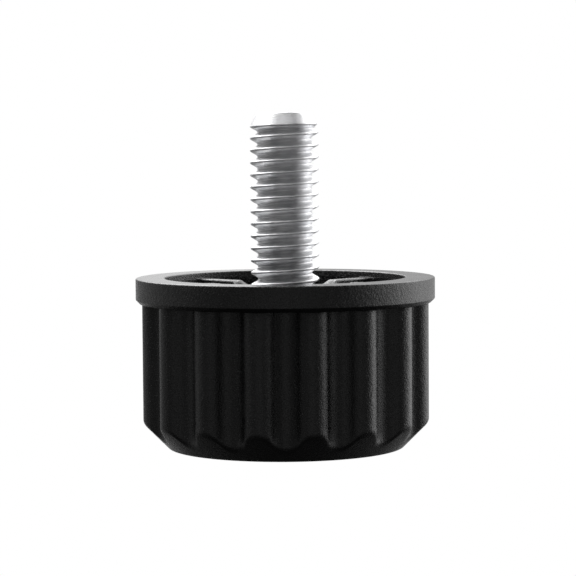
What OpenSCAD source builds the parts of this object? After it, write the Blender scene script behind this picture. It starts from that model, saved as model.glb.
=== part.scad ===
// Levelling foot for furniture: a fluted plastic foot, turned by hand, moulded around the
// head of a screw whose thread goes up into a threaded insert in the furniture.
// Origin: centre of the foot's flat underside. +Z points up along the screw.

/* [Foot] */
// Height of the foot, from the underside to the top of its rim
foot_h = 19.7; // [17:0.1:30]
// Diameter of the fluted barrel, across its ridges
barrel_d = 33.4; // [33:0.1:33.8]
// Diameter of the flange around the top
flange_d = 34.6; // [34.2:0.1:40]
// Height of the flange
flange_h = 2.9; // [2:0.1:4]
// Size of the bevel along the flange's lower edge
flange_bevel = 0.45; // [0.05:0.05:0.8]
// Height and width of the 45 degree bevel at the bottom of the barrel
foot_bevel = 3.1; // [1:0.1:4]

/* [Ridges and flutes] */
// Number of ridges around the barrel, and of the flutes between them
ridge_count = 16; // [14:1:16]
// Radius of each ridge, which is round across
lobe_r = 1.85; // [1.8:0.01:1.9]
// Radius of each flute's hollow
flute_r = 1.9; // [1.88:0.01:1.92]
// Depth of the flutes below the tops of the ridges
flute_depth = 1.7; // [1.68:0.01:1.72]

/* [Cup] */
// Diameter of the cup's mouth, at the rim
mouth_d = 27.8; // [27:0.1:28]
// How much smaller in radius the cup is at its floor than at its mouth
cup_draft = 0.3; // [0.1:0.05:0.5]
// Thickness of the cup's floor
floor_t = 2.4; // [2:0.1:3.5]
// Diameter of the tapered hub at its top
hub_top_d = 15; // [14:0.1:16]
// Diameter of the tapered hub at the cup's floor
hub_foot_d = 18; // [17.5:0.1:19]
// How far the hub stops below the rim
hub_drop = 1.3; // [0.5:0.05:1.8]
// How far the ribs stop below the rim
rib_drop = 0.7; // [0.2:0.05:1.5]
// Number of ribs from the hub to the cup's wall
rib_count = 8; // [4:1:10]
// Thickness of each rib
rib_t = 1.5; // [1:0.1:2]

/* [Screw] */
// Major diameter of the thread, 5/16 inch
screw_d = 7.94; // [7.9:0.01:8]
// Pitch of the thread, 18 turns to the inch
pitch = 1.411; // [1.25:0.001:1.5]
// Height that the screw stands above the rim
screw_reach = 19; // [12:0.5:40]
// Height of the bevel on the screw's end
end_bevel_h = 1.7; // [0.8:0.1:2]
// Width of the bevel on the screw's end
end_bevel_w = 0.8; // [0.4:0.05:0.9]
// Distance across the flats of the screw's hexagonal head
head_af = 12.7; // [12.5:0.1:13]
// Thickness of the head
head_t = 5.2; // [5:0.1:6]
// Thickness of the plastic under the head, above the cup's floor
head_lift = 1; // [0:0.1:2]

/* [Hidden] */
smooth = 128;
// How far a cutter runs past the face that it cuts through
over = 1;
// How far the barrel's solids reach up inside the flange
barrel_sink = 1;

barrel_r = barrel_d / 2;
base_r = barrel_r - foot_bevel;
// Distances of the ridges' and the flutes' middles from the axis
lobe_ring_r = barrel_r - lobe_r;
flute_ring_r = barrel_r - flute_depth + flute_r;
// The solid inside the ridges ends between the two places where a flute crosses a ridge
core_r = barrel_r - 0.6 * flute_depth;
ridge_step = 360 / ridge_count;
flange_r = flange_d / 2;
flange_z = foot_h - flange_h;
mouth_r = mouth_d / 2;
cup_floor_r = mouth_r - cup_draft;
hub_z = foot_h - hub_drop;
rib_z = foot_h - rib_drop;
// A rib starts this far inside the edge of the hub's top, and its other end is sunk into the cup's wall
rib_overlap = 0.5;
rib_sink = 0.5;
rib_start = hub_top_d / 2 - rib_overlap;
rib_length = mouth_r + rib_sink - rib_start;

screw_r = screw_d / 2;
screw_top = foot_h + screw_reach;
head_z = floor_t + head_lift;
head_top = head_z + head_t;
head_corner_r = head_af / 2 / cos(30);
// A 60 degree thread of the usual depth, with a flat an eighth of a pitch wide on its crest
thread_depth = 0.6134 * pitch;
crest_w = pitch / 8;
root_r = screw_r - thread_depth;
// The blank that the thread is rolled on is as thick as the middle of the thread
shank_r = screw_r - thread_depth / 2;
// Where the thread ends and the bevel on the screw's end begins
crest_top = screw_top - end_bevel_h;
// Plain full-diameter stretches at the lower and the upper end of the thread
runout_h = 0.9;
lead_h = 0.3;
// The ridge is laid around the core in short steps, with its foot sunk into the core and its
// crest a hair below the plain stretches
steps_a_turn = 24;
ridge_sink = 0.2;
crest_gap = 0.02;
ridge_low = hub_z + runout_h / 2;
ridge_high = crest_top - lead_h / 2;
ridge_steps = floor(steps_a_turn * (ridge_high - ridge_low) / pitch);

// Upright round bars for the ridges. A flute faces the front, so the ridges stand half a step aside
module ridges() {
    for (i = [0 : ridge_count - 1])
        rotate([0, 0, ridge_step * (i + 0.5)])
            translate([lobe_ring_r, 0, 0])
                cylinder(r = lobe_r, h = flange_z + barrel_sink, $fn = 48);
}

// Upright round cuts between the ridges
module flutes() {
    for (i = [0 : ridge_count - 1])
        rotate([0, 0, ridge_step * i])
            translate([flute_ring_r, 0, -over])
                cylinder(r = flute_r, h = flange_z + barrel_sink + 2 * over, $fn = 48);
}

// Solid whose lower edge has the barrel's bevel, and which is wider than the ridges above it
module bevelled() {
    rotate_extrude($fn = smooth)
        polygon([
            [0, 0],
            [base_r, 0],
            [flange_r + over, flange_r + over - base_r],
            [flange_r + over, foot_h],
            [0, foot_h]
        ]);
}

// The foot below its flange, as a solid that reaches up a little inside the flange
module barrel() {
    intersection() {
        difference() {
            union() {
                cylinder(r = core_r, h = flange_z + barrel_sink, $fn = smooth);
                ridges();
            }
            flutes();
        }
        bevelled();
    }
}

// The collar around the top, as a solid. It closes the flutes' upper ends at its underside
module flange() {
    rotate_extrude($fn = smooth)
        polygon([
            [0, flange_z],
            [flange_r - flange_bevel, flange_z],
            [flange_r, flange_z + flange_bevel],
            [flange_r, foot_h],
            [0, foot_h]
        ]);
}

// The hollow of the cup, with nothing in it
module hollow() {
    translate([0, 0, floor_t])
        cylinder(r1 = cup_floor_r, r2 = mouth_r, h = foot_h - floor_t, $fn = smooth);
    translate([0, 0, foot_h])
        cylinder(r = mouth_r, h = over, $fn = smooth);
}

// Tapered boss around the screw
module hub() {
    translate([0, 0, floor_t])
        cylinder(d1 = hub_foot_d, d2 = hub_top_d, h = hub_z - floor_t, $fn = smooth);
}

// Upright walls from the hub to the cup's wall
module ribs() {
    for (i = [0 : rib_count - 1])
        rotate([0, 0, 360 * i / rib_count])
            translate([rib_start, -rib_t / 2, floor_t])
                cube([rib_length, rib_t, rib_z - floor_t]);
}

// The screw's head and the plain length of shank that the hub holds
module screw_root() {
    translate([0, 0, head_z])
        cylinder(r = head_corner_r, h = head_t, $fn = 6);
    translate([0, 0, head_top])
        cylinder(r = shank_r, h = hub_z - head_top, $fn = smooth);
}

// Corners of the thread's ridge at one step around its helix, in the upright plane at that step
function ridge_section(i) =
    let (
        turn = 360 * i / steps_a_turn,
        z = ridge_low + pitch * i / steps_a_turn,
        r = screw_r - crest_gap,
        sink_r = root_r - ridge_sink,
        half_crest = crest_w / 2,
        half_foot = half_crest + (r - sink_r) * tan(30)
    )
    [
        for (p = [[sink_r, -half_foot], [r, -half_crest], [r, half_crest], [sink_r, half_foot]])
            [p[0] * cos(turn), p[0] * sin(turn), z + p[1]]
    ];

// The thread's ridge, a right-hand helix whose ends run into the plain stretches of the screw
module ridge() {
    last = 4 * ridge_steps;
    sections = [for (i = [0 : ridge_steps]) each ridge_section(i)];
    sides = [
        for (i = [0 : ridge_steps - 1], j = [0 : 3])
            let (a = 4 * i + j, b = 4 * i + (j + 1) % 4)
            each [[a, b, a + 4], [b, b + 4, a + 4]]
    ];
    ends = [[3, 2, 1, 0], [last, last + 1, last + 2, last + 3]];
    polyhedron(sections, concat(sides, ends), convexity = 8);
}

// The length of screw above the hub
module screw_thread() {
    translate([0, 0, hub_z])
        cylinder(r = root_r, h = screw_top - hub_z, $fn = smooth);
    translate([0, 0, hub_z])
        cylinder(r = screw_r, h = runout_h, $fn = smooth);
    translate([0, 0, crest_top - lead_h])
        cylinder(r = screw_r, h = lead_h, $fn = smooth);
    translate([0, 0, crest_top])
        cylinder(r1 = screw_r, r2 = screw_r - end_bevel_w, h = end_bevel_h, $fn = smooth);
    ridge();
}

module foot_body() {
    color([0.05, 0.05, 0.055])
        difference() {
            union() {
                difference() {
                    union() {
                        barrel();
                        flange();
                    }
                    hollow();
                }
                hub();
                ribs();
            }
            screw_root();
        }
}

module threaded_stud() {
    color([0.75, 0.76, 0.78])
        union() {
            screw_root();
            screw_thread();
        }
}

foot_body();
threaded_stud();
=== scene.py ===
"""Levelling foot for furniture: a fluted black plastic foot moulded around a zinc-plated screw."""

import math

import bmesh
import bpy
from mathutils import Matrix, Vector


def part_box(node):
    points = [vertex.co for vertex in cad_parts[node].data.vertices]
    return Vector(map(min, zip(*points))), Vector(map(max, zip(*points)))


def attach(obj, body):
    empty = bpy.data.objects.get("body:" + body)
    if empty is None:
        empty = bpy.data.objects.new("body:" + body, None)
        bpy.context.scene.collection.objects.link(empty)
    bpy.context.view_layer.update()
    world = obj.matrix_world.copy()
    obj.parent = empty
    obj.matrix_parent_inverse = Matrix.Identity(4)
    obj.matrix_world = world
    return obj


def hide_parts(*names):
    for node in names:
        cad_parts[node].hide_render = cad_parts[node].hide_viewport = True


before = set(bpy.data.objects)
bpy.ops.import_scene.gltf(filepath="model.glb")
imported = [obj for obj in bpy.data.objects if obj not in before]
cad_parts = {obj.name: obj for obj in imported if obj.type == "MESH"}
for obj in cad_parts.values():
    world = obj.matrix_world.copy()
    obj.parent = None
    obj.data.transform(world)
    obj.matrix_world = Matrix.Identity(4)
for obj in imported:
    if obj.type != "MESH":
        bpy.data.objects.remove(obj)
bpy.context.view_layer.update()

MM = 0.001
foot_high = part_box("foot_body")[1]
stud_low, stud_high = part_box("threaded_stud")

# Sizes in millimetres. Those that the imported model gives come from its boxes. A name that ends in
# _ROW is the longest step from one row of a mesh's points to the next
FOOT_H = foot_high.z / MM
FLANGE_R = foot_high.x / MM
STUD_TOP = stud_high.z / MM
HEAD_LOW = stud_low.z / MM
HEAD_CORNER_R = stud_high.x / MM

# The barrel. Its ridges and flutes are round across, and run into each other smoothly
BARREL_R = 16.7
BARREL_ROWS = 22
FLUTES = 16
LOBE_R = 1.85
LOBE_RING_R = BARREL_R - LOBE_R
FLUTE_FLOOR_R = 15.0
FLUTE_R = 1.823
FLUTE_RING_R = FLUTE_FLOOR_R + FLUTE_R
# Angle from a flute's middle to where its hollow ends and the ridge beside it starts
FLUTE_TURN = math.radians(5.23)

# The underside, with the gate mark in its middle, and the 45 degree bevel around it. The bevel's
# cone goes on up to BEVEL_TOP, where it has passed the ridges. The two radii of BASE_EDGES round
# the edges of the gate mark and of the underside
GATE_R = 1.6
GATE_FLOOR_R = 1.35
GATE_DEPTH = 0.3
BASE_R = 13.6
BASE_EDGES = (0.1, 0.5)
BASE_ROW = 0.6
BEVEL_TOP = 3.8
BEVEL_BLEND = 0.5
BEVEL_ROW = 0.13

# The flange, the fillet under it, and how round its edges are, from its underside's to the mouth's
FLANGE_Z = FOOT_H - 2.9
FLANGE_BEVEL = 0.45
FLANGE_FILLET = 0.1
FLANGE_EDGES = (0.02, 0.15, 0.16, 0.16)
FLANGE_ROW = 0.45

# The cup with its hub and its ribs, which are a little thicker at the cup's floor
MOUTH_R = 13.9
CUP_FLOOR_R = 13.6
FLOOR_T = 2.4
HUB_Z = FOOT_H - 1.3
HUB_TOP_R = 7.5
HUB_FOOT_R = 9.0
RIBS = 8
RIB_Z = FOOT_H - 0.7
RIB_HALF = 0.75
RIB_DRAFT = 0.12
HALF_SECTOR = math.pi / RIBS
# A rib's middle line ends inside the hub's edge, and steps down to the hub's top just before that
RIB_END_R = 6.9
RIB_STEP_R = 7.0
RIB_STEP_W = 0.4

# The pockets between the ribs: how round their edges, their corners and the foot of their walls are,
# and the heights of the rows of points on their walls
POCKET_EDGE = 0.22
POCKET_CORNER = 0.7
POCKET_FILLET = 0.6
POCKET_ROWS = (16.0, 12.0, 8.0, 5.0, FLOOR_T + POCKET_FILLET)
# Steps in a pocket's outline: along the cup's wall, around the corner at the wall, along a rib,
# around the corner at the hub, and along the hub
WALL_STEPS = 80
OUTER_STEPS = 8
RIB_STEPS = 16
INNER_STEPS = 6
HUB_STEPS = 32
SIDE_STEPS = OUTER_STEPS + RIB_STEPS + INNER_STEPS
OUTLINE_STEPS = WALL_STEPS + HUB_STEPS + 2 * SIDE_STEPS

# The screw, which has a 60 degree thread
SCREW_R = 3.97
PITCH = 1.411
THREAD_DEPTH = 0.6134 * PITCH
FLANK_TURN = math.radians(30)
CREST_HALF = PITCH / 16
CREST_ROUND = 0.10
ROOT_ROUND = 0.22
SHANK_R = SCREW_R - THREAD_DEPTH / 2
ROOT_R = SCREW_R - THREAD_DEPTH
HEAD_TOP = HEAD_LOW + 5.2
END_BEVEL_H = 1.7
END_BEVEL_W = 0.8
END_BEVEL_Z = STUD_TOP - END_BEVEL_H
# The thread starts a little below the hub's top and reaches its full depth over THREAD_FADE
THREAD_LOW = HUB_Z - 1.0
THREAD_FADE = 0.4
THREAD_ROW = 0.05
STUD_COLUMNS = 160
# Height of the thread's crest, within one pitch, on the screw's +X side
THREAD_PHASE = 1.15


# ---------------------------------------------------------------- mesh tools


class Skin:
    """Collects vertices, in millimetres, and faces, and turns them into an object."""

    def __init__(self):
        self.points = []
        self.faces = []

    def add(self, points):
        start = len(self.points)
        self.points.extend(points)
        return list(range(start, len(self.points)))

    def face(self, *corners):
        kept = [c for i, c in enumerate(corners) if c != corners[i - 1]]
        if len(set(kept)) > 2:
            self.faces.append(kept)

    def bridge(self, a, b, closed=True):
        for i in range(len(a) - (0 if closed else 1)):
            j = (i + 1) % len(a)
            self.face(a[i], a[j], b[j], b[i])

    def bridge_all(self, rows, closed=True):
        for a, b in zip(rows, rows[1:]):
            self.bridge(a, b, closed)

    def fan(self, ring, centre):
        tip = self.add([centre])[0]
        for i in range(len(ring)):
            self.face(ring[i], ring[(i + 1) % len(ring)], tip)

    def build(self, name, material):
        mesh = bpy.data.meshes.new(name)
        mesh.from_pydata([Vector(p) * MM for p in self.points], [], self.faces)
        made = bmesh.new()
        made.from_mesh(mesh)
        bmesh.ops.recalc_face_normals(made, faces=made.faces)
        made.to_mesh(mesh)
        made.free()
        mesh.polygons.foreach_set("use_smooth", [True] * len(mesh.polygons))
        mesh.materials.append(material)
        mesh.update()
        obj = bpy.data.objects.new(name, mesh)
        bpy.context.collection.objects.link(obj)
        return obj


def polar(r, angle, z):
    return (r * math.cos(angle), r * math.sin(angle), z)


def around(count):
    """Angles of evenly spaced columns, starting at +X."""
    return [2 * math.pi * i / count for i in range(count)]


def apart(a, b):
    """How far apart two angles are, the shorter way round."""
    return abs((a - b + math.pi) % (2 * math.pi) - math.pi)


def corner(p, before, after, radius, steps):
    """Points of a rounded corner at p in a flat profile, between the points before and after it."""
    a = (Vector(before) - Vector(p)).normalized()
    b = (Vector(after) - Vector(p)).normalized()
    half = a.angle(b) / 2
    reach = radius / math.tan(half)
    centre = Vector(p) + (a + b).normalized() * radius / math.sin(half)
    start = Vector(p) + a * reach - centre
    end = Vector(p) + b * reach - centre
    sweep = start.angle(end)
    points = []
    for i in range(steps + 1):
        t = i / steps
        arm = (start * math.sin((1 - t) * sweep) + end * math.sin(t * sweep)) / math.sin(sweep)
        points.append(tuple(centre + arm))
    return points


def rounded(profile, radii, steps=4):
    """A flat profile with its inner corners rounded to the given radii."""
    points = [profile[0]]
    for before, p, after, radius in zip(profile, profile[1:], profile[2:], radii):
        points += corner(p, before, after, radius, steps) if radius else [p]
    return points + [profile[-1]]


def spread(points, longest):
    """The same profile with more points on its long straight stretches."""
    out = [points[0]]
    for a, b in zip(points, points[1:]):
        count = max(1, math.ceil(math.dist(a, b) / longest))
        for i in range(1, count + 1):
            out.append((a[0] + (b[0] - a[0]) * i / count, a[1] + (b[1] - a[1]) * i / count))
    return out


def smooth_max(a, b, k):
    h = max(k - abs(a - b), 0) / k
    return max(a, b) + h * h * k / 4


def smooth_min(a, b, k):
    return -smooth_max(-a, -b, k)


def ease(t):
    """Goes smoothly from 0 to 1 as t does, and stays level outside that."""
    t = min(1, max(0, t))
    return t * t * (3 - 2 * t)


# ---------------------------------------------------------------- materials


class Nodes:
    """Short names for making a node tree."""

    def __init__(self, tree):
        self.tree = tree
        tree.nodes.clear()

    def new(self, kind, inputs=None, **settings):
        node = self.tree.nodes.new(kind)
        for key, value in settings.items():
            setattr(node, key, value)
        for key, value in (inputs or {}).items():
            socket = node.inputs[key]
            if isinstance(value, bpy.types.NodeSocket):
                self.tree.links.new(value, socket)
            else:
                socket.default_value = value
        return node

    def math(self, operation, *values):
        return self.new("ShaderNodeMath", dict(enumerate(values)), operation=operation).outputs[0]

    def range(self, value, low, high, to_low=0.0, to_high=1.0, kind="SMOOTHSTEP"):
        inputs = {"Value": value, "From Min": low, "From Max": high, "To Min": to_low, "To Max": to_high}
        return self.new("ShaderNodeMapRange", inputs, interpolation_type=kind).outputs["Result"]

    def noise(self, place, scale, detail=2.0, roughness=0.5):
        """Noise whose scale is in bumps to the millimetre."""
        inputs = {"Vector": place, "Scale": scale / MM, "Detail": detail, "Roughness": roughness}
        return self.new("ShaderNodeTexNoise", inputs).outputs["Fac"]


def make_plastic():
    material = bpy.data.materials.new("black_plastic")
    material.use_nodes = True
    n = Nodes(material.node_tree)
    place = n.new("ShaderNodeTexCoord").outputs["Object"]

    # Spark-eroded grain all over, fading out on the polished top of the rim
    normal = n.new("ShaderNodeNewGeometry").outputs["True Normal"]
    up = n.new("ShaderNodeSeparateXYZ", {0: normal}).outputs["Z"]
    outside = n.new("ShaderNodeVectorMath", {0: place, 1: (1, 1, 0)}, operation="MULTIPLY").outputs[0]
    away = n.new("ShaderNodeVectorMath", {0: outside}, operation="LENGTH").outputs["Value"]
    polished = n.math("MULTIPLY", n.range(up, 0.7, 0.98), n.range(away, 13.5 * MM, 13.8 * MM))
    fine = n.noise(place, 5.5, 3.0, 0.6)
    coarse = n.noise(place, 2.0, 2.0, 0.5)
    grain = n.math("ADD", fine, n.math("MULTIPLY", coarse, 0.6))
    depth = n.range(polished, 0, 1, 1.0, 0.06, "LINEAR")
    bump = n.new(
        "ShaderNodeBump",
        {"Height": n.math("MULTIPLY", grain, depth), "Strength": 1.0, "Distance": 0.07 * MM},
    )

    # Handling marks: broad patches and fine specks of duller and shinier plastic
    patches = n.noise(place, 0.25, 4.0, 0.6)
    specks = n.noise(place, 3.0, 2.0, 0.7)
    rough = n.math("ADD", n.range(patches, 0.3, 0.7, 0.24, 0.33), n.range(specks, 0.4, 0.7, -0.05, 0.05))
    rough = n.math("MULTIPLY", rough, n.range(polished, 0, 1, 1.0, 0.5, "LINEAR"))

    # Flow lines and dust give the black a little variation
    tone = n.range(n.noise(place, 0.5, 5.0, 0.65), 0.35, 0.7)
    colour = n.new(
        "ShaderNodeMix",
        {"Factor": tone, 6: (0.0025, 0.0025, 0.0027, 1), 7: (0.0042, 0.0042, 0.0044, 1)},
        data_type="RGBA",
    ).outputs[2]
    shader = n.new(
        "ShaderNodeBsdfPrincipled",
        {"Base Color": colour, "Roughness": rough, "Normal": bump.outputs[0], "IOR": 1.5},
    )
    n.new("ShaderNodeOutputMaterial", {"Surface": shader.outputs[0]})
    return material


def make_zinc():
    material = bpy.data.materials.new("zinc_steel")
    material.use_nodes = True
    n = Nodes(material.node_tree)
    place = n.new("ShaderNodeTexCoord").outputs["Object"]

    # Rolling smears run around the thread, so the noise is squeezed along the screw's axis
    squeezed = n.new("ShaderNodeMapping", {"Vector": place, "Scale": (1.0, 1.0, 5.0)}).outputs[0]
    smears = n.noise(squeezed, 1.3, 4.0, 0.65)
    crystals = n.noise(place, 9.0, 2.0, 0.6)
    rough = n.math("ADD", n.range(smears, 0.3, 0.7, 0.32, 0.48), n.range(crystals, 0.3, 0.7, -0.04, 0.06))
    height = n.math("ADD", smears, n.math("MULTIPLY", crystals, 0.35))
    bump = n.new("ShaderNodeBump", {"Height": height, "Strength": 0.5, "Distance": 0.06 * MM})

    # Stains make broad darker patches in the zinc
    stains = n.noise(place, 0.45, 3.0, 0.6)
    colour = n.new(
        "ShaderNodeMix",
        {"Factor": n.range(stains, 0.35, 0.7), 6: (0.80, 0.80, 0.81, 1), 7: (0.66, 0.665, 0.68, 1)},
        data_type="RGBA",
    ).outputs[2]
    shader = n.new(
        "ShaderNodeBsdfPrincipled",
        {"Base Color": colour, "Metallic": 1.0, "Roughness": rough, "Normal": bump.outputs[0]},
    )
    n.new("ShaderNodeOutputMaterial", {"Surface": shader.outputs[0]})
    return material


# ---------------------------------------------------------------- outside of the foot


def wave_radius(angle):
    """Radius of the barrel's section at an angle. A flute faces -Y."""
    step = 2 * math.pi / FLUTES
    turn = abs((angle + step / 2) % step - step / 2)
    if turn < FLUTE_TURN:
        return FLUTE_RING_R * math.cos(turn) - math.sqrt(FLUTE_R**2 - (FLUTE_RING_R * math.sin(turn)) ** 2)
    away = step / 2 - turn
    return LOBE_RING_R * math.cos(away) + math.sqrt(LOBE_R**2 - (LOBE_RING_R * math.sin(away)) ** 2)


def make_outside(skin, angles):
    """The underside, the barrel and the flange, over the rim into the mouth. Gives the last ring."""
    waves = [wave_radius(a) for a in angles]
    rings = []

    # From the middle of the underside up the bevel
    base = [
        (1.2, GATE_DEPTH),
        (GATE_FLOOR_R, GATE_DEPTH),
        (GATE_R, 0.0),
        (BASE_R, 0.0),
        (BASE_R + BEVEL_TOP, BEVEL_TOP),
    ]
    base = rounded(base, (0, *BASE_EDGES))
    for r, z in spread(base[:-1], BASE_ROW) + spread(base[-2:], BEVEL_ROW)[1:]:
        rings.append(skin.add([polar(smooth_min(w, r, BEVEL_BLEND), a, z) for w, a in zip(waves, angles)]))
    skin.fan(rings[0], (0, 0, GATE_DEPTH))

    # Up the barrel, and the small fillet to the underside of the flange
    barrel_h = FLANGE_Z - FLANGE_FILLET - BEVEL_TOP
    levels = [(0, BEVEL_TOP + barrel_h * step / BARREL_ROWS) for step in range(1, BARREL_ROWS + 1)]
    levels += [(0.3 * FLANGE_FILLET, FLANGE_Z - 0.3 * FLANGE_FILLET), (FLANGE_FILLET, FLANGE_Z)]
    for grow, z in levels:
        rings.append(skin.add([polar(w + grow, a, z) for w, a in zip(waves, angles)]))

    # Around the flange and down into the mouth
    flange = [
        (BARREL_R + FLANGE_FILLET, FLANGE_Z),
        (FLANGE_R - FLANGE_BEVEL, FLANGE_Z),
        (FLANGE_R, FLANGE_Z + FLANGE_BEVEL),
        (FLANGE_R, FOOT_H),
        (MOUTH_R, FOOT_H),
        (MOUTH_R, RIB_Z + 0.1),
    ]
    for r, z in spread(rounded(flange, FLANGE_EDGES, 5), FLANGE_ROW)[1:]:
        rings.append(skin.add([polar(r, a, z) for a in angles]))
    skin.bridge_all(rings)
    return rings[-1]


# ---------------------------------------------------------------- inside of the foot


def pocket_outline(z, inset=0, corner_r=POCKET_CORNER):
    """Closed outline, at a height, of the pocket whose middle line is along +X.

    It goes anticlockwise from the cup wall's -Y end. An inset makes the pocket smaller all around.
    """
    down = (HUB_Z - z) / (HUB_Z - FLOOR_T)
    outer = MOUTH_R + (CUP_FLOOR_R - MOUTH_R) * (FOOT_H - z) / (FOOT_H - FLOOR_T) - inset
    inner = HUB_TOP_R + (HUB_FOOT_R - HUB_TOP_R) * down + inset
    side = RIB_HALF + RIB_DRAFT * down + inset
    line = Vector((math.cos(HALF_SECTOR), math.sin(HALF_SECTOR)))
    out = Vector((-math.sin(HALF_SECTOR), math.cos(HALF_SECTOR)))

    # Middles of the corners at the wall and at the hub, and their directions from the axis
    far = line * math.sqrt((outer - corner_r) ** 2 - (side + corner_r) ** 2) - out * (side + corner_r)
    near = line * math.sqrt((inner + corner_r) ** 2 - (side + corner_r) ** 2) - out * (side + corner_r)
    far_turn = math.atan2(far.y, far.x)
    near_turn = math.atan2(near.y, near.x)

    def arc(centre, radius, start, end, count):
        turns = [start + (end - start) * i / count for i in range(count)]
        return [centre + radius * Vector((math.cos(t), math.sin(t))) for t in turns]

    points = arc(Vector((0, 0)), outer, -far_turn, far_turn, WALL_STEPS)
    points += arc(far, corner_r, far_turn, HALF_SECTOR + math.pi / 2, OUTER_STEPS)
    a = far + out * corner_r
    b = near + out * corner_r
    points += [a + (b - a) * i / RIB_STEPS for i in range(RIB_STEPS)]
    points += arc(near, corner_r, HALF_SECTOR + math.pi / 2, near_turn + math.pi, INNER_STEPS)
    points += arc(Vector((0, 0)), inner, near_turn, -near_turn, HUB_STEPS)

    # The other rib's side mirrors the first one's
    mirrored = [Vector((p.x, -p.y)) for p in points[WALL_STEPS : WALL_STEPS + SIDE_STEPS]]
    hub_end = Vector((inner * math.cos(near_turn), -inner * math.sin(near_turn)))
    return points + [hub_end] + mirrored[:0:-1]


def steps_from_wall(i):
    """How many steps an outline's point is from the cup's wall. Along the wall that is below 0."""
    return min(i - WALL_STEPS, OUTLINE_STEPS - i)


def edge_share(i):
    """How much of the rounded edge an outline's point gets. There is none along the cup's wall."""
    return min(1, max(0, steps_from_wall(i) / OUTER_STEPS))


def top_height(i):
    """Height of the top beside an outline's point: a rib's, which steps down to the hub's."""
    return RIB_Z + (HUB_Z - RIB_Z) * ease((steps_from_wall(i) - OUTER_STEPS - RIB_STEPS) / INNER_STEPS)


def hexagon(angle):
    """Distance from the axis to the head's side at an angle. A corner points along +X."""
    sixth = math.pi / 3
    turn = (angle % sixth) - sixth / 2
    return HEAD_CORNER_R * math.cos(sixth / 2) / math.cos(turn)


def make_bore(skin):
    """The hollow that holds the screw's shank and head. Gives its top ring."""
    angles = around(RIBS * HUB_STEPS)
    rows = []
    for r, z in ((ROOT_R, HUB_Z), (ROOT_R, HUB_Z - 0.6), (SHANK_R, THREAD_LOW), (SHANK_R, HEAD_TOP)):
        rows.append(skin.add([polar(r, a, z) for a in angles]))
    for z in (HEAD_TOP, HEAD_LOW):
        rows.append(skin.add([polar(hexagon(a), a, z) for a in angles]))
    skin.bridge_all(rows)
    skin.fan(rows[-1], (0, 0, HEAD_LOW))
    return rows[0]


def rib_line(skin, k, wall_r):
    """Points along the middle of a rib's top, from beside the cup's wall inwards."""
    count = RIB_STEPS + INNER_STEPS - 1
    points = []
    for i in range(1, count + 1):
        r = wall_r - (wall_r - RIB_END_R) * i / count
        z = HUB_Z + (RIB_Z - HUB_Z) * ease((r - RIB_STEP_R) / RIB_STEP_W)
        points.append(polar(r, 2 * HALF_SECTOR * (k + 1), z))
    return skin.add(points)


def make_pocket(skin, k, wall, bore, lines):
    """One pocket, with half of each rib's top beside it and the hub's top inside it."""
    spin = Matrix.Rotation(HALF_SECTOR + 2 * HALF_SECTOR * k, 2)
    first = k * len(wall) // RIBS

    def row(points, heights):
        return skin.add([(*(spin @ p), z) for p, z in zip(points, heights)])

    def wall_run(start, end):
        return [wall[(first + i) % len(wall)] for i in range(start, end + 1)]

    outline = pocket_outline(HUB_Z)
    outward = []
    for i in range(OUTLINE_STEPS):
        along = (outline[(i + 1) % OUTLINE_STEPS] - outline[i - 1]).normalized()
        outward.append(Vector((along.y, -along.x)))

    # Rounded edge, from the tops over to the pocket's walls. Its first row shares the cup wall's points
    rows = []
    steps = 4
    for step in range(steps + 1):
        turn = step / steps * math.pi / 2
        points = []
        heights = []
        for i, (p, n) in enumerate(zip(outline, outward)):
            points.append(p + n * (POCKET_EDGE * edge_share(i) * (1 - math.sin(turn))))
            heights.append(top_height(i) - POCKET_EDGE * (1 - math.cos(turn)))
        shared = [] if step else wall_run(0, WALL_STEPS)
        rows.append(shared + row(points[len(shared) :], heights[len(shared) :]))

    # The tops of the hub and the ribs, from their middle lines out to the pocket's edge
    middle = wall_run(WALL_STEPS, WALL_STEPS + OUTER_STEPS) + lines[k]
    middle += [bore[((k + 1) * HUB_STEPS - i) % len(bore)] for i in range(HUB_STEPS + 1)]
    middle += lines[k - 1][::-1] + wall_run(-OUTER_STEPS, 0)
    border = rows[0][WALL_STEPS:] + [rows[0][0]]
    strip = [middle]
    for t in (0.45, 0.8):
        between = []
        for a, b in zip(middle[1:-1], border[1:-1]):
            between.append(tuple(Vector(skin.points[a]).lerp(Vector(skin.points[b]), t)))
        strip.append([middle[0]] + skin.add(between) + [middle[-1]])
    strip.append(border)
    skin.bridge_all(strip, closed=False)

    # Walls, the fillet at the floor, and the floor
    for z in POCKET_ROWS:
        rows.append(row(pocket_outline(z), [z] * OUTLINE_STEPS))
    for t in (0.25, 0.5, 0.75, 1.0):
        turn = t * math.pi / 2
        z = FLOOR_T + POCKET_FILLET * (1 - math.sin(turn))
        inset = POCKET_FILLET * (1 - math.cos(turn))
        rows.append(row(pocket_outline(z, inset, POCKET_CORNER - inset * 0.9), [z] * OUTLINE_STEPS))
    skin.bridge_all(rows)
    floor_ring = [Vector(skin.points[i]) for i in rows[-1]]
    centre = sum(floor_ring, Vector()) / len(floor_ring)
    inner = skin.add([tuple(p.lerp(centre, 0.5)) for p in floor_ring])
    skin.bridge(rows[-1], inner)
    skin.fan(inner, tuple(centre))


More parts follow.
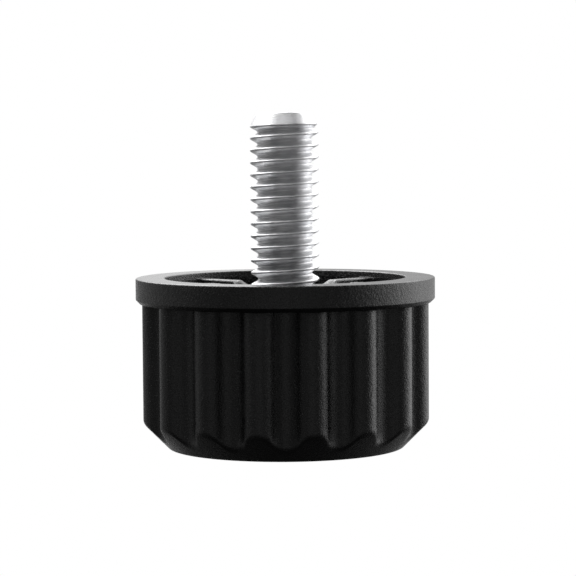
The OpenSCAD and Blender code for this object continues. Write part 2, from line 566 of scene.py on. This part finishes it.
def make_foot(material):
    skin = Skin()

    # Columns of the cup's wall: along a pocket, then to the middle of the rib after it and past it
    wall_start = pocket_outline(HUB_Z)[0]
    far_turn = math.atan2(-wall_start.y, wall_start.x)
    sector = [-far_turn + 2 * far_turn * i / WALL_STEPS for i in range(WALL_STEPS)]
    half_rib = [far_turn + (HALF_SECTOR - far_turn) * i / OUTER_STEPS for i in range(OUTER_STEPS)]
    sector += half_rib + [HALF_SECTOR] + [2 * HALF_SECTOR - t for t in half_rib[:0:-1]]
    wall_angles = [t + HALF_SECTOR + 2 * HALF_SECTOR * k for k in range(RIBS) for t in sector]

    # The outside has as many columns. They are evenly spaced, and are joined to the wall's one to one
    angles = around(len(wall_angles))
    mouth = make_outside(skin, angles)
    wall = skin.add([polar(wall_start.length, a, RIB_Z) for a in wall_angles])
    start = min(range(len(angles)), key=lambda i: apart(angles[i], wall_angles[0]))
    skin.bridge(mouth[start:] + mouth[:start], wall)

    bore = make_bore(skin)
    lines = [rib_line(skin, k, wall_start.length) for k in range(RIBS)]
    for k in range(RIBS):
        make_pocket(skin, k, wall, bore, lines)
    return skin.build("Foot", material)


# ---------------------------------------------------------------- screw


def thread_radius(angle, z):
    """Radius of the rolled right-hand thread, with its crests and roots rounded."""
    turn = ((z - THREAD_PHASE) / PITCH - angle / (2 * math.pi)) % 1.0
    away = min(turn, 1 - turn) * PITCH
    flank = SCREW_R - (away - CREST_HALF) / math.tan(FLANK_TURN)
    return smooth_max(smooth_min(flank, SCREW_R, CREST_ROUND), ROOT_R, ROOT_ROUND)


def screw_radius(angle, z):
    """Radius of the screw above its shank: the thread fades in, and out again on the end's bevel."""
    fade = min(1, (z - THREAD_LOW) / THREAD_FADE)
    bevel_r = SCREW_R - max(0, z - END_BEVEL_Z) * END_BEVEL_W / END_BEVEL_H
    cut = min(1, max(0, (END_BEVEL_Z + 0.35 - z) / 0.6))
    r = bevel_r + (smooth_min(thread_radius(angle, z), bevel_r, 0.06) - bevel_r) * cut
    return SHANK_R + (r - SHANK_R) * fade


def make_stud(material):
    skin = Skin()
    angles = around(STUD_COLUMNS)
    rings = []

    def ring(radius_at, z):
        rings.append(skin.add([polar(radius_at(a), a, z) for a in angles]))

    def round_ring(r, z):
        ring(lambda a: r, z)

    # Head, with its lower corners chamfered as a forged head's are
    flat_r = HEAD_CORNER_R * math.cos(math.pi / 6)
    round_ring(2.0, HEAD_LOW)
    round_ring(flat_r - 0.2, HEAD_LOW)
    for rise in (0.05, 0.6):
        cone = flat_r + rise * 1.4
        ring(lambda a: min(hexagon(a), cone), HEAD_LOW + rise)
    ring(hexagon, HEAD_TOP)
    skin.fan(rings[0], (0, 0, HEAD_LOW))

    # Shank, which widens a little at the head
    round_ring(SHANK_R + 0.3, HEAD_TOP)
    round_ring(SHANK_R, HEAD_TOP + 0.3)
    round_ring(SHANK_R, THREAD_LOW - 0.1)

    # Thread, and the end with its rounded edge
    z = THREAD_LOW
    while z < STUD_TOP - 0.12:
        ring(lambda a: screw_radius(a, z), z)
        z += THREAD_ROW
    end_r = SCREW_R - END_BEVEL_W
    for r, down in ((end_r - 0.02, 0.06), (end_r - 0.10, 0.01), (end_r - 0.35, 0), (1.2, 0)):
        round_ring(r, STUD_TOP - down)
    skin.bridge_all(rings)
    skin.fan(rings[-1], (0, 0, STUD_TOP))
    return skin.build("Stud", material)


# ---------------------------------------------------------------- studio


def make_floor():
    """White sheet just below the foot. Only the camera sees it."""
    half = 3.0
    z = -0.02 * MM
    corners = [(-half, -half, z), (half, -half, z), (half, half, z), (-half, half, z)]
    mesh = bpy.data.meshes.new("floor")
    mesh.from_pydata(corners, [], [(0, 1, 2, 3)])
    material = bpy.data.materials.new("floor")
    material.use_nodes = True
    n = Nodes(material.node_tree)
    glow = n.new("ShaderNodeEmission", {"Color": (1, 1, 1, 1), "Strength": 1.0})
    n.new("ShaderNodeOutputMaterial", {"Surface": glow.outputs[0]})
    mesh.materials.append(material)
    floor = bpy.data.objects.new("floor", mesh)
    bpy.context.collection.objects.link(floor)
    floor.visible_diffuse = False
    floor.visible_glossy = False
    floor.visible_shadow = False


def make_world():
    """White to the camera. To the object it is a studio, painted by direction."""
    world = bpy.data.worlds.new("studio")
    bpy.context.scene.world = world
    world.use_nodes = True
    n = Nodes(world.node_tree)
    place = n.new("ShaderNodeTexCoord").outputs["Generated"]
    x, y, z = n.new("ShaderNodeSeparateXYZ", {0: place}).outputs
    # Angle from the camera's side, towards +X, in degrees. Without their signs, the angle and the
    # height say how far a direction is from the camera's side and from level
    angle = n.math("MULTIPLY", n.math("ARCTAN2", x, n.math("MULTIPLY", y, -1.0)), 180 / math.pi)
    off_camera = n.math("ABSOLUTE", angle)
    off_level = n.math("ABSOLUTE", z)

    def add(*levels):
        total = levels[0]
        for level in levels[1:]:
            total = n.math("ADD", total, level)
        return total

    def scaled(amount, *masks):
        total = masks[0]
        for mask in masks[1:]:
            total = n.math("MULTIPLY", total, mask)
        return n.math("MULTIPLY", total, amount)

    # All around at the object's height: a softbox on the right, a white backdrop behind and a dim
    # room on the left. Two more softboxes stand higher up, behind on the left and on the right
    right = add(
        n.range(angle, 52, 82, 0, 0.8),
        n.range(angle, 84, 116, 0, 2.2),
        n.range(angle, 100, 160, 0, -2.5),
    )
    backdrop = n.range(angle, -156, -174, 0, 0.65)
    dim = n.range(angle, -30, -95, 0, 0.24)
    high = n.range(z, 0.2, 0.45)
    high_left = scaled(3.2, n.range(angle, -118, -150), high)
    high_right = scaled(2.2, n.range(angle, 90, 130), high)
    band = add(right, backdrop, dim, high_left, high_right)
    tall = n.math("MULTIPLY", n.range(z, -0.5, -0.05), n.range(z, 0.74, 0.86, 1.0, 0.08))

    # Softboxes above the camera and above the left side
    front = n.math("SUBTRACT", 1.0, n.range(off_camera, 20, 65))
    above = n.math("MULTIPLY", n.range(z, 0.66, 0.74), n.range(z, 0.80, 0.87, 1.0, 0.08))
    left = n.math("MULTIPLY", n.range(angle, -48, -84), n.range(z, 0.40, 0.66))

    # The floor, which the foot itself darkens close by, and which is a little lighter behind
    ground = n.range(z, 0.0, -0.1, 0, 1.0)
    floor = n.range(z, -0.95, -0.25, 0.02, 0.11)
    behind = n.range(off_camera, 100, 140)
    paper = n.math("MULTIPLY", ground, n.range(z, -0.82, -0.6))

    # A pale room around the camera, and what light there is in every direction
    camera_room = scaled(0.33, n.range(off_camera, 8, 48, 1, 0), n.range(off_level, 0.15, 0.4, 1, 0))
    everywhere = 0.008
    level = add(
        n.math("MULTIPLY", band, tall),
        scaled(0.05, behind, paper),
        scaled(2.2, front, above),
        scaled(5.0, left, n.range(z, 0.8, 0.95, 1.0, 0.2)),
        n.math("MULTIPLY", ground, floor),
        camera_room,
        everywhere,
    )
    seen = n.new("ShaderNodeLightPath").outputs["Is Camera Ray"]
    strength = n.new("ShaderNodeMix", {"Factor": seen, 2: level, 3: 1.0}, data_type="FLOAT").outputs[0]
    back = n.new("ShaderNodeBackground", {"Color": (1, 1, 1, 1), "Strength": strength})
    n.new("ShaderNodeOutputWorld", {"Surface": back.outputs[0]})


def make_camera():
    """A long lens a quarter of a metre away.

    It stands a little above the rim, looks down a few degrees and is turned by a fraction of one.
    """
    data = bpy.data.cameras.new("camera")
    data.lens = 144.4
    data.sensor_width = 36
    data.clip_start = 0.01
    camera = bpy.data.objects.new("camera", data)
    bpy.context.collection.objects.link(camera)
    place = Vector((0.316, -267.0, FOOT_H + 15.92)) * MM
    pitch = Matrix.Rotation(math.radians(90 - 3.688), 4, "X")
    roll = Matrix.Rotation(math.radians(-0.409), 4, "Z")
    camera.matrix_world = Matrix.Translation(place) @ pitch @ roll
    bpy.context.scene.camera = camera


# ---------------------------------------------------------------- scene

plastic = make_plastic()
zinc = make_zinc()
foot = make_foot(plastic)
stud = make_stud(zinc)
for piece, node, slot in ((foot, "foot_body", "black_plastic"), (stud, "threaded_stud", "zinc_steel")):
    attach(piece, "root")
    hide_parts(node)

make_floor()
make_world()
make_camera()
bpy.context.scene.view_settings.view_transform = "Standard"
